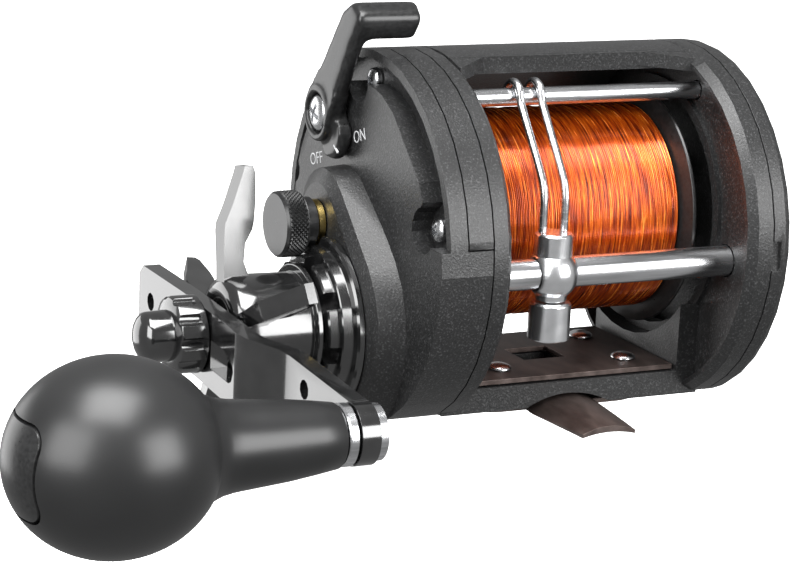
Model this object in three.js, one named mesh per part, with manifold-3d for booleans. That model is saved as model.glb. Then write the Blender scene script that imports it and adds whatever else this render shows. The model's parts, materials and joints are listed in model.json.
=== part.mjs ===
// Conventional level-wind trolling reel, in millimetres, +Z up.
// +X runs from the crank side to the far side plate and -Y is where the line leaves.
// The origin is under the reel foot.
import * as THREE from 'three';
import { ConvexGeometry } from 'three/addons/geometries/ConvexGeometry.js';
import * as BufferGeometryUtils from 'three/addons/utils/BufferGeometryUtils.js';
import Module from 'manifold-3d';

const wasm = await Module();
wasm.setup();

// ---- driving dimensions ----
const GAP = 0.3; // clearance between resting neighbours
const FACETS = 36; // sides of a large round piece
const FINENESS = 0.55; // share of a piece's stated sides that it is built with

const RING = { y: 0, z: 34, radius: 36 }; // the round side rings
const SPOOL = { y: 5, z: 36 }; // spool axis
const CRANK = { y: -1.8, z: 17.6 }; // crank shaft axis
const WORM = { y: -23.9, z: 30.4 }; // level-wind worm axis
const ROD = { y: -9, z: 61.7 }; // upper guide rod axis
const LEVER = { y: 11.2, z: 56.1 }; // free-spool lever pivot
const KNOB = { y: -58.8, z: 14.3 }; // handle knob axis

// stations along X
const LEFT_RING = { seam: -29, web: -27.3, lip: -25, chamfer: 1.1 };
const RIGHT_RING = { seam: 31.6, web: 29, lip: 26.4, chamfer: 1.9 };
const FAR_FACE = 36.1;
const SIDE_PLATE = { outer: -34.2, inner: -29.3 };
const COVER = { inner: -34.5, ledge: -35.5, rim: -38, face: -39.8, shoulder: -44.7, nose: -45.9 };

const BASE = { halfWidth: 16, bottom: 1.3, top: 6.2 };
const BRIDGE = { inner: 32.5, front: 101.5, rear: 38 }; // degrees from +Y
const ARM = { outer: -73, inner: -69.5, step: 5 };
const KNOB_BALL = { centre: -110.4, radius: 16.9, halfLength: 18.5 };
const SHAFT_RADIUS = 3.4;
const SPOOL_SHAFT_RADIUS = 2.4;

const PINION_TEETH = 15;
const MAIN_TEETH = 56;
const WIND_DRIVE_TEETH = 24;
const IDLER_TEETH = 22;
const WORM_TEETH = 18;
const CENTRES = Math.hypot(SPOOL.y - CRANK.y, SPOOL.z - CRANK.z); // spool axis to crank axis
const MAIN_MODULE = (2 * CENTRES) / (MAIN_TEETH + PINION_TEETH);
const WIND_MODULE = 0.6;

// ---- finishes ----
const finish = (color, roughness, metalness) =>
  new THREE.MeshStandardMaterial({ color, roughness, metalness });
const graphite = finish(0x2c2d2f, 0.62, 0.1);
const blackGloss = finish(0x101113, 0.18, 0.7);
const satinBlack = finish(0x1c1c1e, 0.42, 0.2);
const chrome = finish(0xd8dade, 0.08, 1);
const steel = finish(0xb9bbbd, 0.25, 1);
const bronzeSteel = finish(0x4a413c, 0.45, 0.85);
const brass = finish(0xb9963f, 0.28, 1);
const rubber = finish(0x2a2b2d, 0.5, 0);
const carbon = finish(0x191919, 0.8, 0);
const lineOrange = finish(0xc24a12, 0.3, 0.1);

// ---- solids ----
const toRadians = THREE.MathUtils.degToRad;
const even = (count) => 2 * Math.round(count / 2);
const sides = (facets) => (facets === FACETS ? FACETS : Math.max(10, even(facets * FINENESS)));

// Shared vertices merged and faces without area dropped.
function closed(geometry) {
  geometry.deleteAttribute('normal');
  geometry.deleteAttribute('uv');
  const merged = BufferGeometryUtils.mergeVertices(geometry, 1e-4);
  const faces = [];
  for (let i = 0; i < merged.index.count; i += 3) {
    const corners = [0, 1, 2].map((k) => merged.index.getX(i + k));
    if (new Set(corners).size === 3) faces.push(...corners);
  }
  merged.setIndex(faces);
  return merged;
}

function toManifold(geometry) {
  const merged = closed(geometry.clone());
  return new wasm.Manifold(
    new wasm.Mesh({
      numProp: 3,
      vertProperties: new Float32Array(merged.attributes.position.array),
      triVerts: new Uint32Array(merged.index.array),
    }),
  );
}

function toGeometry(solid) {
  const mesh = solid.getMesh();
  const geometry = new THREE.BufferGeometry();
  geometry.setAttribute('position', new THREE.BufferAttribute(new Float32Array(mesh.vertProperties), 3));
  geometry.setIndex(new THREE.BufferAttribute(new Uint32Array(mesh.triVerts), 1));
  return geometry;
}

function join(first, ...others) {
  return toGeometry(others.reduce((sum, other) => sum.add(toManifold(other)), toManifold(first)));
}

function cut(first, ...others) {
  return toGeometry(others.reduce((rest, other) => rest.subtract(toManifold(other)), toManifold(first)));
}

const common = (first, second) => toGeometry(toManifold(first).intersect(toManifold(second)));

// Turned solid about the local Z axis: stations are [along, radius] pairs round a closed profile.
function turn(stations, facets = FACETS) {
  const points = stations.map(([along, radius]) => new THREE.Vector2(radius, along));
  const first = points[0];
  const last = points[points.length - 1];
  if (first.x > 0 || last.x > 0) points.push(first.clone());
  const area = points.reduce((sum, p, i) => {
    const q = points[(i + 1) % points.length];
    return sum + p.x * q.y - q.x * p.y;
  }, 0);
  if (area < 0) points.reverse();
  return new THREE.LatheGeometry(points, sides(facets)).rotateX(Math.PI / 2);
}

const disc = (radius, from, to, u = 0, v = 0, facets = FACETS) =>
  new THREE.CylinderGeometry(radius, radius, Math.abs(to - from), sides(facets))
    .rotateX(Math.PI / 2)
    .translate(u, v, (from + to) / 2);

const tube = (outer, inner, from, to, facets = 40) =>
  turn([[from, inner], [from, outer], [to, outer], [to, inner]], facets);

const block = (u0, u1, v0, v1, w0, w1) =>
  new THREE.BoxGeometry(u1 - u0, v1 - v0, w1 - w0).translate((u0 + u1) / 2, (v0 + v1) / 2, (w0 + w1) / 2);

const slab = (shape, from, to, curveSegments = 12) =>
  new THREE.ExtrudeGeometry(shape, { depth: to - from, bevelEnabled: false, curveSegments })
    .translate(0, 0, from);

function outline(points) {
  return new THREE.Shape(points.map(([u, v]) => new THREE.Vector2(u, v)));
}

// Prism standing along local Y of an axle group: the outline lies in local X and Z.
function crosswise(shape, from, to) {
  const basis = new THREE.Matrix4().makeBasis(
    new THREE.Vector3(1, 0, 0),
    new THREE.Vector3(0, 0, 1),
    new THREE.Vector3(0, -1, 0),
  );
  return new THREE.ExtrudeGeometry(shape, { depth: to - from, bevelEnabled: false, curveSegments: 8 })
    .applyMatrix4(basis)
    .translate(0, to, 0);
}

// Prism lying along local X of an axle group: the outline lies in local Z and Y.
function lengthwise(shape, from, to) {
  const basis = new THREE.Matrix4().makeBasis(
    new THREE.Vector3(0, 0, 1),
    new THREE.Vector3(0, 1, 0),
    new THREE.Vector3(-1, 0, 0),
  );
  return new THREE.ExtrudeGeometry(shape, { depth: to - from, bevelEnabled: false, curveSegments: 8 })
    .applyMatrix4(basis)
    .translate(to, 0, 0);
}

// Round-topped outline that rises `rise` above its springing and reaches `depth` below it.
function archOutline(halfWidth, rise, depth) {
  const radius = (halfWidth ** 2 + rise ** 2) / (2 * rise);
  const half = Math.asin(halfWidth / radius);
  const arch = new THREE.Shape();
  arch.absarc(0, rise - radius, radius, Math.PI / 2 - half, Math.PI / 2 + half);
  if (depth > 0) {
    arch.lineTo(-halfWidth, -depth);
    arch.lineTo(halfWidth, -depth);
  }
  return arch;
}

function roundedRect(halfU, halfV, radius) {
  const shape = new THREE.Shape();
  shape.absarc(halfU - radius, halfV - radius, radius, 0, Math.PI / 2);
  shape.absarc(-halfU + radius, halfV - radius, radius, Math.PI / 2, Math.PI);
  shape.absarc(-halfU + radius, -halfV + radius, radius, Math.PI, 1.5 * Math.PI);
  shape.absarc(halfU - radius, -halfV + radius, radius, 1.5 * Math.PI, 2 * Math.PI);
  return shape;
}

// Straight-flanked spur gear blank with its teeth centred on `phase`.
function gear(teeth, module, from, to, bore, phase = 0) {
  const pitch = (teeth * module) / 2;
  const tip = pitch + 0.75 * module;
  const root = pitch - 0.95 * module;
  const step = (2 * Math.PI) / teeth;
  const corners = [[-0.27, root], [-0.12, tip], [0.12, tip], [0.27, root]];
  const points = [];
  for (let tooth = 0; tooth < teeth; tooth += 1) {
    for (const [share, radius] of corners) {
      const angle = phase + (tooth + share) * step;
      points.push([radius * Math.cos(angle), radius * Math.sin(angle)]);
    }
  }
  const shape = outline(points);
  const hole = new THREE.Path();
  hole.absarc(0, 0, bore, 0, 2 * Math.PI, true);
  shape.holes.push(hole);
  return slab(shape, from, to, 10);
}

// Phase that puts the follower's gap opposite the leader's tooth on their line of centres.
function meshedPhase(leader, leaderTeeth, leaderPhase, follower, followerTeeth) {
  const line = Math.atan2(follower.z - leader.z, follower.y - leader.y);
  return line + Math.PI - ((leaderPhase - line) * leaderTeeth) / followerTeeth - Math.PI / followerTeeth;
}

// ---- scene graph ----
// Every axle group has local X along world Y, local Y along world Z and local Z along world X.
const reel = new THREE.Group();

function axle(place) {
  const group = new THREE.Group();
  const basis = new THREE.Matrix4().makeBasis(
    new THREE.Vector3(0, 1, 0),
    new THREE.Vector3(0, 0, 1),
    new THREE.Vector3(1, 0, 0),
  );
  group.quaternion.setFromRotationMatrix(basis);
  group.position.set(0, place.y, place.z);
  reel.add(group);
  return group;
}

function piece(group, name, geometry, material) {
  const mesh = new THREE.Mesh(closed(geometry), material);
  mesh.name = name;
  group.add(mesh);
  return mesh;
}

const offset = (place, from) => [place.y - from.y, place.z - from.z];

const ringAxle = axle(RING);
const spoolAxle = axle(SPOOL);
const crankAxle = axle(CRANK);
const wormAxle = axle(WORM);
const knobAxle = axle(KNOB);
const leverAxle = axle(LEVER);

const [spoolU, spoolV] = offset(SPOOL, RING);
const [crankU, crankV] = offset(CRANK, RING);
const [wormU, wormV] = offset(WORM, RING);
const [rodU, rodV] = offset(ROD, RING);
const [leverU, leverV] = offset(LEVER, RING);

// Everything round is cut off flat where it meets the base.
const bottom = BASE.bottom - RING.z;
const top = BASE.top - RING.z;
const trimmed = (geometry) => cut(geometry, block(-50, 50, bottom - 20, bottom, -60, 60));

// ---- frame: two rings, thumb bridge and base moulded in one ----
const SPOOL_HOLE = 24.6;
const ROD_RADIUS = 1.75;
const WORM_TUBE_RADIUS = 3;
const FAR_SCREWS = [{ y: 28, z: 44 }, { y: -25, z: 48 }, { y: 4, z: 5.5 }];
const SCREW_HOLE = 1.7;

function ring({ seam, web, lip, chamfer }) {
  const inward = Math.sign(lip - seam);
  const body = turn([
    [seam, 0], [seam, RING.radius], [lip - inward * chamfer, RING.radius], [lip, 34.9], [lip, 0],
  ]);
  const recess = disc(34, web, lip + inward);
  const collar = disc(26.5, web - inward, web + inward * 0.9, spoolU, spoolV);
  const hole = disc(SPOOL_HOLE, seam - inward, lip + inward, spoolU, spoolV);
  return cut(join(cut(body, recess), collar), hole);
}

function bridge() {
  const sector = new THREE.Shape();
  sector.absarc(0, 0, RING.radius, toRadians(BRIDGE.rear), toRadians(BRIDGE.front));
  sector.absarc(0, 0, BRIDGE.inner, toRadians(BRIDGE.front), toRadians(BRIDGE.rear), true);
  return slab(sector, LEFT_RING.lip - 0.5, RIGHT_RING.lip + 0.5, 14);
}

// Corner webs that widen the bridge where it meets the rings.
function bridgeGussets() {
  const shell = tube(RING.radius, BRIDGE.inner + 0.9, LEFT_RING.lip - 0.5, RIGHT_RING.lip + 0.5, FACETS);
  const front = RING.radius * Math.cos(toRadians(BRIDGE.front));
  const rear = RING.radius * Math.cos(toRadians(BRIDGE.rear));
  const left = LEFT_RING.lip - 0.4;
  const right = RIGHT_RING.lip + 0.4;
  const corners = [
    [front + 1, front - 4.5, left, 8.5],
    [front + 1, front - 3.3, right, -12],
    [rear - 1, rear + 3, left, 8.5],
    [rear - 1, rear + 3, right, -12],
  ];
  return corners.map(([edge, tip, station, run]) => {
    const wedge = outline([[edge, station], [tip, station], [edge, station + run]]);
    return common(shell, crosswise(wedge, 0, 40));
  });
}

const SQUARE_HOLE = { x: 1, halfX: 4.65, halfY: 4.15 };
const RIVETS = [[-11.85, -8.6], [16.45, -8.6], [-11.85, 8.6], [16.45, 8.6]];
const squareHole = (from, to) => block(
  -SQUARE_HOLE.halfY, SQUARE_HOLE.halfY, from, to,
  SQUARE_HOLE.x - SQUARE_HOLE.halfX, SQUARE_HOLE.x + SQUARE_HOLE.halfX,
);
const upright = (radius, from, to, x, y, facets = 16) =>
  new THREE.CylinderGeometry(radius, radius, to - from, sides(facets)).translate(y, (from + to) / 2, x);

function base() {
  const bed = block(-BASE.halfWidth, BASE.halfWidth, bottom, top, LEFT_RING.web - 0.6, RIGHT_RING.web + 0.6);
  const walls = [
    block(-BASE.halfWidth, BASE.halfWidth, bottom, -14, LEFT_RING.web - 0.6, -21.5),
    block(-BASE.halfWidth, BASE.halfWidth, bottom, -14, 24.5, RIGHT_RING.web + 0.6),
  ];
  const channel = lengthwise(archOutline(9.2, 2.4, 3), -20, 20).translate(0, bottom, 0);
  return cut(join(bed, ...walls), disc(26.6, -40, 40, spoolU, spoolV), channel);
}

function frame() {
  const solid = join(ring(LEFT_RING), ring(RIGHT_RING), bridge(), ...bridgeGussets(), base());
  return cut(
    trimmed(solid),
    disc(ROD_RADIUS + GAP, -40, 40, rodU, rodV, 20),
    disc(WORM_TUBE_RADIUS + GAP, -40, 40, wormU, wormV, 28),
    squareHole(bottom - 3, top + 3),
    ...RIVETS.map(([x, y]) => upright(1.8, bottom - 3, top + 3, x, y)),
    ...FAR_SCREWS.map((s) => disc(SCREW_HOLE, 29.5, 40, ...offset(s, RING), 14)),
  );
}
piece(ringAxle, 'frame', frame(), graphite);

// ---- reel foot, clamp plate and rivets ----
const PLATE_TOP = BASE.top + GAP + 1;
const FOOT_TOP = BASE.bottom - GAP;
const BLADE = {
  root: -12, taper: -16.3, tip: -32.2, rootHalf: 8.1, tipHalf: 5.8, slope: 0.075, thickness: 1.25, crown: 1.6,
};

// The foot lies in a group whose local axes match the rings', with the origin under the foot.
const footAxle = axle({ y: 0, z: 0 });

function footBlade() {
  const halfWidth = BLADE.rootHalf + 0.3;
  const curved = cut(
    lengthwise(archOutline(halfWidth, BLADE.crown + BLADE.thickness, 0), BLADE.tip, BLADE.root),
    lengthwise(archOutline(halfWidth, BLADE.crown, 5), BLADE.tip - 5, BLADE.root + 5),
  );
  const plan = outline([
    [BLADE.root, -BLADE.rootHalf], [BLADE.taper, -BLADE.rootHalf], [BLADE.tip, -BLADE.tipHalf],
    [BLADE.tip, BLADE.tipHalf], [BLADE.taper, BLADE.rootHalf], [BLADE.root, BLADE.rootHalf],
  ]);
  const droop = new THREE.Matrix4().makeShear(BLADE.slope, 0, 0, 0, 0, 0);
  return common(curved, crosswise(plan, -5, 10))
    .applyMatrix4(droop)
    .translate(0, -BLADE.taper * BLADE.slope, 0);
}

function foot() {
  const plate = crosswise(roundedRect(13, 21.5, 9), 0, FOOT_TOP);
  const bladeFront = footBlade();
  const bladeRear = footBlade().rotateY(Math.PI);
  const holes = RIVETS.map(([x, y]) => upright(1.8, -5, 5, x, y));
  return join(cut(plate, ...holes), bladeFront, bladeRear);
}
piece(footAxle, 'reel_foot', foot(), bronzeSteel);

function clampPlate() {
  const plate = block(-15.4, 15.4, PLATE_TOP - 1, PLATE_TOP, -20.9, 23.9);
  return cut(plate, squareHole(0, 20), ...RIVETS.map(([x, y]) => upright(1.8, -5, 20, x, y)));
}
piece(footAxle, 'foot_clamp_plate', clampPlate(), bronzeSteel);

RIVETS.forEach(([x, y], i) => {
  const head = PLATE_TOP + GAP;
  const rivet = turn([[0.1, 0], [0.1, 1.5], [head, 1.5], [head, 2.5], [head + 0.6, 1.9], [head + 1, 0]], 18);
  piece(reel, `foot_rivet_${i + 1}`, rivet, steel).position.set(x, y, 0);
});

// ---- spool ----
function spool() {
  return turn([
    [-25.8, 2.7], [-25.8, 6], [-24, 8], [-23.9, 24], [-22.8, 24], [-21.8, 20], [-21.8, 9],
    [23.05, 9], [23.05, 20], [24.1, 24], [25.2, 24], [25.4, 8], [27.2, 6], [27.2, 2.7],
  ]);
}
piece(spoolAxle, 'spool', spool(), satinBlack);
piece(spoolAxle, 'line_pack', tube(20.7, 9.3, -21.5, 22.75, 56), lineOrange);
piece(spoolAxle, 'spool_shaft', disc(SPOOL_SHAFT_RADIUS, -48.6, 34.6, 0, 0, 20), steel);
piece(spoolAxle, 'click_ratchet', gear(14, 0.8, 27.6, 29.2, 2.7), steel);
piece(spoolAxle, 'spool_bearing_left', tube(6.3, 2.7, -33.6, -31.2, 28), steel);
piece(spoolAxle, 'spool_bearing_right', tube(6.3, 2.7, 32.3, 34.6, 28), steel);

// ---- crank-side plate and gear cover ----
const BEARING_SEAT = 6.6;
const idler = (() => {
  const toWorm = [WORM.y - CRANK.y, WORM.z - CRANK.z];
  const apart = Math.hypot(...toWorm);
  const near = (WIND_MODULE * (WIND_DRIVE_TEETH + IDLER_TEETH)) / 2;
  const far = (WIND_MODULE * (IDLER_TEETH + WORM_TEETH)) / 2;
  const along = (apart ** 2 + near ** 2 - far ** 2) / (2 * apart);
  const aside = Math.sqrt(near ** 2 - along ** 2);
  const [dy, dz] = toWorm.map((d) => d / apart);
  return { y: CRANK.y + along * dy + aside * dz, z: CRANK.z + along * dz - aside * dy };
})();
const [idlerU, idlerV] = offset(idler, RING);
const idlerAxle = axle(idler);

const SKIRT_TOP = 4.6; // height above the ring axis where the cover's lower skirt ends
const REAR = { u: 15, v: -13 }; // the ledge runs down to here behind the crank
const CAVITY = 33.4;
const COVER_SCREWS = [
  { y: 2.4, z: 63.9, station: COVER.ledge, pocket: 4.4 },
  { y: -27.4, z: 41, station: COVER.ledge, pocket: 4.4 },
  { y: 30.6, z: 41.2, station: COVER.ledge, pocket: 2.9 },
  { y: 22, z: 12, station: COVER.face + 1.8, pocket: 3.2 },
];
const screwBores = (radius, facets) =>
  COVER_SCREWS.map((s) => disc(radius, -60, -20, ...offset(s, RING), facets));

function sidePlate() {
  const upper = common(
    disc(RING.radius, SIDE_PLATE.outer, SIDE_PLATE.inner),
    block(-50, 50, SKIRT_TOP + GAP, 50, SIDE_PLATE.outer - 1, SIDE_PLATE.inner + 1),
  );
  const lower = disc(CAVITY + 0.2, SIDE_PLATE.outer, SIDE_PLATE.inner);
  const pocketFloor = -31.8;
  return trimmed(cut(
    join(upper, lower),
    disc(8.2, pocketFloor, -20, crankU, crankV, 32),
    disc(7.6, pocketFloor, -20, idlerU, idlerV, 32),
    disc(6.6, pocketFloor, -20, wormU, wormV, 32),
    disc(BEARING_SEAT, -40, -20, spoolU, spoolV, 32),
    disc(SHAFT_RADIUS + 0.4, -40, -20, crankU, crankV, 24),
    ...screwBores(SCREW_HOLE, 14),
  ));
}
piece(ringAxle, 'crank_side_plate', sidePlate(), graphite);

// Hull of one circle round the spool axis and one round the crank axis at each station.
function bossSolid(layers) {
  const points = [];
  for (const [station, spoolRadius, crankRadius] of layers) {
    for (const [u, v, radius] of [[spoolU, spoolV, spoolRadius], [crankU, crankV, crankRadius]]) {
      for (let i = 0; i < 24; i += 1) {
        const angle = (i / 24) * 2 * Math.PI;
        points.push(new THREE.Vector3(u + radius * Math.cos(angle), v + radius * Math.sin(angle), station));
      }
    }
  }
  return new ConvexGeometry(points);
}

// The raised plateau: round at the back, cut straight at the front and notched round the front screw.
function plateau() {
  const shape = new THREE.Shape();
  shape.absarc(0, 0, 29.8, -0.5, toRadians(106));
  const front = [
    [-13, 26.3], [-25, 15.6], [-26.9, 12.2], [-25.5, 10.4], [-25.2, 7.6], [-27, 4.9], [-29.8, 3.7],
    [-29.8, -14],
  ];
  front.forEach(([u, v]) => shape.lineTo(u, v));
  return slab(shape, -60, -20, 20);
}

function gearCover() {
  const shell = disc(RING.radius, COVER.face, COVER.inner);
  const skirt = common(
    cut(disc(RING.radius, COVER.inner - 0.5, SIDE_PLATE.inner), disc(CAVITY + 0.5, -50, -20)),
    block(-50, 50, -50, SKIRT_TOP, -50, -20),
  );
  const boss = common(
    bossSolid([[COVER.face + 2, 11, 22.2], [COVER.shoulder, 10.4, 19.7], [COVER.nose, 7.6, 16.9]]),
    disc(RING.radius, -60, -20),
  );
  const valley = disc(34.2, COVER.face - 1, COVER.ledge);
  const overRim = disc(40, COVER.face - 1, COVER.rim);
  const ledge = common(
    cut(join(valley, overRim), plateau()),
    join(block(-50, 50, SKIRT_TOP, 50, -50, -20), block(REAR.u, 50, REAR.v, 50, -50, -20)),
  );
  const pockets = COVER_SCREWS.map((s) => disc(s.pocket, -50, s.station, ...offset(s, RING), 24));
  const outer = cut(join(shell, skirt, boss), ledge, ...pockets);
  const posts = screwBores(6, 24);
  const upperCavity = cut(disc(28, COVER.face + 1.5, -20), ...posts);
  const rearWall = common(
    cut(disc(40, -50, COVER.inner), disc(28, -60, -20)),
    block(REAR.u - 1, 50, REAR.v - 2, 50, -50, -20),
  );
  const lowerCavity = cut(
    common(disc(CAVITY, COVER.face + 1.5, -20), block(-50, 50, -50, 2.8, -50, -20)),
    rearWall,
    ...posts,
  );
  const bossCavity = common(
    bossSolid([[-30, 9.1, 18.2], [COVER.shoulder + 0.1, 8.9, 15.6]]),
    disc(CAVITY, -50, -20),
  );
  return trimmed(cut(
    outer,
    upperCavity,
    lowerCavity,
    bossCavity,
    ...screwBores(SCREW_HOLE, 14),
    disc(6, -60, -20, crankU, crankV, 32),
    disc(4.4, -60, -20, spoolU, spoolV, 32),
    disc(SCREW_HOLE, -60, -20, leverU, leverV, 20),
  ));
}
piece(ringAxle, 'gear_cover', gearCover(), graphite);

// Pan-head screw whose head rests on `station`; `towards` is the sense of X in which its shank runs.
function screw(station, towards, length, head) {
  const at = (height) => station - towards * height;
  const cap = turn([
    [at(0), 0], [at(0), head], [at(0.9), head * 0.92], [at(1.5), head * 0.6], [at(1.7), 0],
  ], 20);
  return join(cap, disc(1.3, at(0.2), station + towards * length, 0, 0, 12));
}
const SCREW_END = -31.5;
COVER_SCREWS.forEach((s, i) => {
  const seat = s.station - GAP;
  piece(axle(s), `cover_screw_${i + 1}`, screw(seat, 1, SCREW_END - seat, 2.3), steel);
});

// Threaded collar round the crank, with castellated lugs.
function shaftCollar() {
  const body = turn([
    [COVER.nose - GAP, 5.6], [COVER.nose - GAP, 16.9], [-47.2, 16.9], [-47.6, 16.2], [-47.8, 15],
    [-49.8, 15], [-49.8, 13.6], [-51.9, 13.4], [-51.9, 5.6],
  ]);
  const notches = [];
  for (let i = 0; i < 8; i += 1) {
    notches.push(block(9.5, 20, -1.7, 1.7, -60, -49.8).rotateZ((i / 8) * 2 * Math.PI + 0.2));
  }
  const [capU, capV] = offset(SPOOL, CRANK);
  return cut(body, ...notches, disc(5.6, -49.4, -40, capU, capV, 32), disc(7, -60, -49.4, capU, capV, 32));
}
piece(crankAxle, 'shaft_collar', shaftCollar(), blackGloss);
piece(crankAxle, 'anti_reverse_bearing', tube(9, 5.4, -44.2, -42.3, 32), steel);

// ---- crank train ----
const mainPhase = 0;
const drivePhase = 0;
const pinionPhase = meshedPhase(CRANK, MAIN_TEETH, mainPhase, SPOOL, PINION_TEETH);
const idlerPhase = meshedPhase(CRANK, WIND_DRIVE_TEETH, drivePhase, idler, IDLER_TEETH);
const wormPhase = meshedPhase(idler, IDLER_TEETH, idlerPhase, WORM, WORM_TEETH);

const SHAFT_BORE = SHAFT_RADIUS + GAP;
piece(crankAxle, 'crank_shaft', disc(SHAFT_RADIUS, -75, -29.5, 0, 0, 20), steel);
piece(crankAxle, 'main_gear', gear(MAIN_TEETH, MAIN_MODULE, -37.3, -34.7, SHAFT_BORE, mainPhase), brass);
const WIND_GEARS = { from: -31.5, to: -29.8 };
const windGear = (teeth, bore, phase) =>
  gear(teeth, WIND_MODULE, WIND_GEARS.from, WIND_GEARS.to, bore, phase);
piece(crankAxle, 'wind_drive_gear', windGear(WIND_DRIVE_TEETH, SHAFT_BORE, drivePhase), brass);
piece(crankAxle, 'drag_washer_inner', tube(12, SHAFT_BORE, -38.4, -37.6, 36), carbon);
piece(crankAxle, 'drag_washer_metal', tube(12, SHAFT_BORE, -39.4, -38.7, 36), steel);
piece(crankAxle, 'pressure_plate', tube(12, 5.4, -41, -39.7, 36), steel);
piece(crankAxle, 'clutch_sleeve', tube(5.1, SHAFT_BORE, -52, -39.8, 28), steel);
piece(crankAxle, 'spring_washer', turn([[-52.5, 3.8], [-53, 7.2], [-53.5, 7.2], [-53, 3.8]], 28), steel);

piece(idlerAxle, 'idler_gear', windGear(IDLER_TEETH, 1.8, idlerPhase), brass);
piece(idlerAxle, 'idler_pin', disc(1.5, -31.5, -29.5, 0, 0, 16), steel);

// ---- pinion and free-spool clutch ----
function pinion() {
  const bore = SPOOL_SHAFT_RADIUS + GAP;
  const toothed = gear(PINION_TEETH, MAIN_MODULE, -38.6, -33.9, bore, pinionPhase);
  const neck = turn([
    [-38.5, bore], [-38.5, 4.2], [-40.4, 4.2], [-40.4, 3.4],
    [-41.6, 3.4], [-41.6, 4.2], [-42.4, 4.2], [-42.4, bore],
  ], 30);
  return join(toothed, neck);
}
piece(spoolAxle, 'pinion', pinion(), brass);

function yoke() {
  const fork = new THREE.Shape();
  fork.absarc(0, 0, 7, toRadians(-50), toRadians(230));
  fork.absarc(0, 0, 3.75, toRadians(230), toRadians(-50), true);
  return slab(fork, -41.3, -40.7, 16);
}
piece(spoolAxle, 'clutch_yoke', yoke(), steel);

// ---- cast control cap ----
function castCap() {
  const cap = turn([
    [-54.9, 0], [-54.9, 6.1], [-54.3, 6.5], [-50.2, 6.5], [-50, 5], [-47.9, 5], [-47.9, 0],
  ], 40);
  return cut(cap, disc(SPOOL_SHAFT_RADIUS + 0.4, -50.6, -40, 0, 0, 24));
}
piece(spoolAxle, 'cast_control_cap', castCap(), satinBlack);
piece(spoolAxle, 'cast_control_seat', tube(4.5, 2.8, -47.6, COVER.nose - GAP, 32), brass);

// ---- star drag ----
const STAR = { arms: 5, start: 82, twist: 6, station: -65, reach: 31, stem: 1.6, paddle: 1.9 };

// One arm: a narrow stem and a tapered paddle that leans towards the reel, hollowed on both sides.
function starArm(angle) {
  const { station, reach, stem, paddle } = STAR;
  const side = outline([
    [7, -68.3 - station], [14, -68.2 - station], [20.5, -68 - station], [24, -66.2 - station],
    [29.6, -63.9 - station], [reach, -63.5 - station], [reach, -61.5 - station], [29.6, -61.1 - station],
    [20.5, -61.8 - station], [17.5, -63.2 - station], [13, -64.1 - station], [7, -62 - station],
  ]);
  const blank = slab(side, -paddle, paddle);
  const waist = outline([[7, -8], [19, -8], [19, 8], [7, 8]]);
  const pocket = outline([[21.4, -1.6], [28.4, 1.6], [28.4, 3], [21.4, 2.2]]);
  const depth = paddle - 0.7;
  const shaped = cut(
    blank,
    slab(waist, stem, 2 * paddle),
    slab(waist, -2 * paddle, -stem),
    slab(pocket, depth, 2 * paddle),
    slab(pocket, -2 * paddle, -depth),
  );
  return shaped
    .rotateX(Math.PI / 2 + toRadians(STAR.twist))
    .rotateZ(toRadians(angle))
    .translate(0, 0, station);
}

function star() {
  const hub = turn([
    [-52.3, 7.6], [-52.3, 12], [-53.4, 12], [-53.4, 10.4], [-64, 10.6], [-67.2, 10.4], [-68.5, 9.2],
    [-68.8, 7.6], [-68.8, 6.4], [-67.6, 6.2], [-67.6, 3.8], [-55, 3.8], [-55, 7.6],
  ], 48);
  const arms = [];
  for (let i = 0; i < STAR.arms; i += 1) arms.push(starArm(STAR.start + (i * 360) / STAR.arms));
  return cut(join(hub, ...arms), disc(3.8, -80, -50, 0, 0, 28));
}
piece(crankAxle, 'star_drag', star(), blackGloss);

// ---- handle ----
const [knobU, knobV] = offset(KNOB, CRANK);

function armOutline() {
  const shape = new THREE.Shape();
  shape.moveTo(31, 4.4);
  shape.lineTo(29, 6.3);
  shape.lineTo(8, 6.1);
  shape.lineTo(-14.4, 5.2);
  shape.lineTo(-31.5, 3.6);
  shape.lineTo(-56, 2.3);
  shape.absarc(knobU, knobV, 5.6, toRadians(80), toRadians(260));
  shape.lineTo(-34, -9.6);
  shape.lineTo(-14, -9.4);
  shape.lineTo(0, -8.6);
  shape.lineTo(29, -7.4);
  shape.lineTo(31, -5);
  return shape;
}

function handleArm() {
  const { outer, inner, step } = ARM;
  const bend = { start: -18.1, end: -31.5, ease: 3.4, lead: 0.7 };
  const edge = (face) => [
    [bend.start, face], [bend.start - bend.ease, face + bend.lead],
    [bend.end + bend.ease, face + step - bend.lead], [bend.end, face + step],
  ];
  const side = outline([
    [40, outer], ...edge(outer), [-70, outer + step],
    [-70, inner + step], ...edge(inner).reverse(), [40, inner],
  ]);
  const bar = common(crosswise(side, -30, 30), slab(armOutline(), -80, -55, 16));
  const slot = outline([
    [-6.8, 0.4], [-13, 0.2], [-17.3, -1.8], [-17.7, -2.8], [-16.9, -4.8], [-15.6, -5.4], [-6.8, -5],
  ]);
  return cut(
    bar,
    slab(slot, -80, -50),
    disc(2.8, -80, -50, knobU, knobV, 24),
    disc(1.8, -80, -50, -38, -0.8, 18),
    disc(1.8, -80, -50, 24.4, 0, 18),
    disc(SHAFT_BORE, -80, -50, 0, 0, 24),
  );
}
piece(crankAxle, 'handle_arm', handleArm(), blackGloss);

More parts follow.
